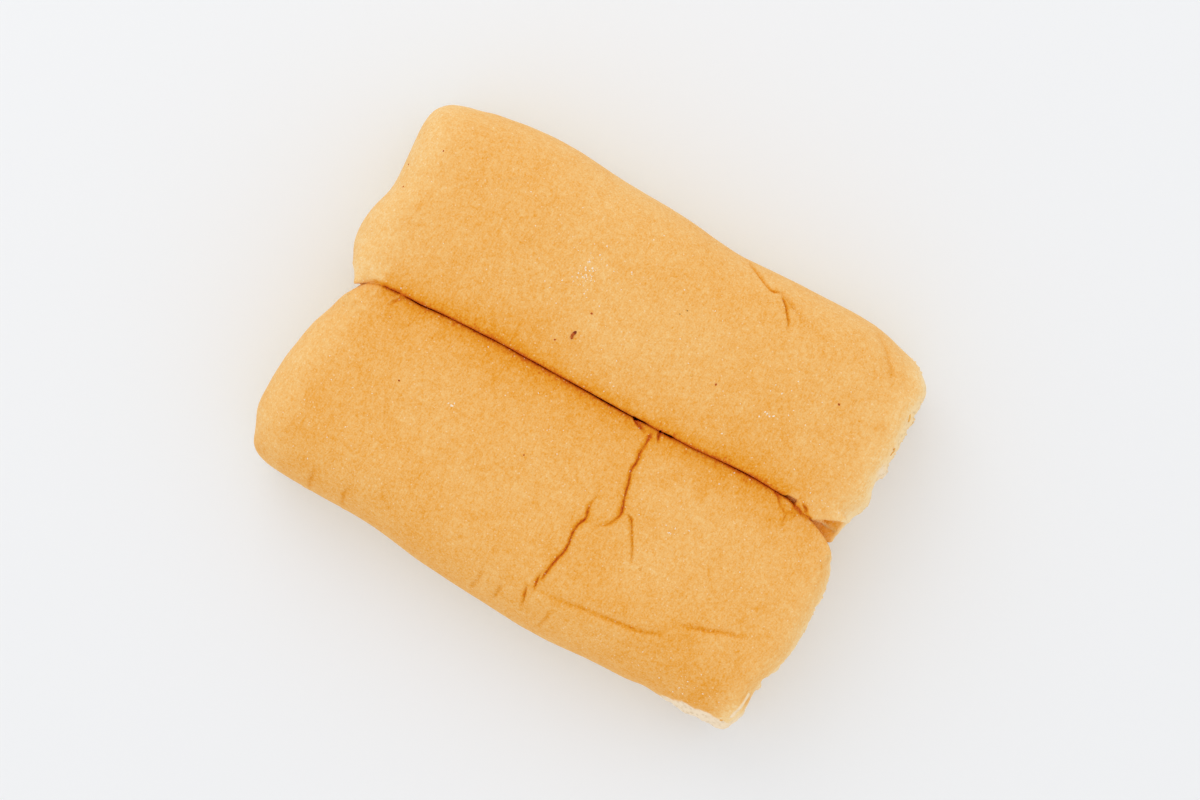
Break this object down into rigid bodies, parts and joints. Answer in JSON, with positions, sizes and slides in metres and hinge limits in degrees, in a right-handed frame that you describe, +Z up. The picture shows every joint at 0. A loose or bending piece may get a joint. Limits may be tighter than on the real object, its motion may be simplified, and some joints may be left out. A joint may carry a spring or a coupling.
{
  "type": "pair of joined soft bread rolls",
  "caption": "Soft oblong bread rolls joined along their flanks, with a matte golden crust, folded creases and torn pale ends.",
  "frame": {"origin": "under the middle of the pair's bounding box, on the surface it rests on", "axes": "+X along the rolls towards their torn ends, +Y across them towards the taller roll, +Z up"},
  "size_m": [0.16, 0.1213, 0.038],
  "materials": {
    "golden_crust": null
  },
  "bodies": {
    "root": {"joined_rolls": "golden_crust"}
  },
  "joints": []
}
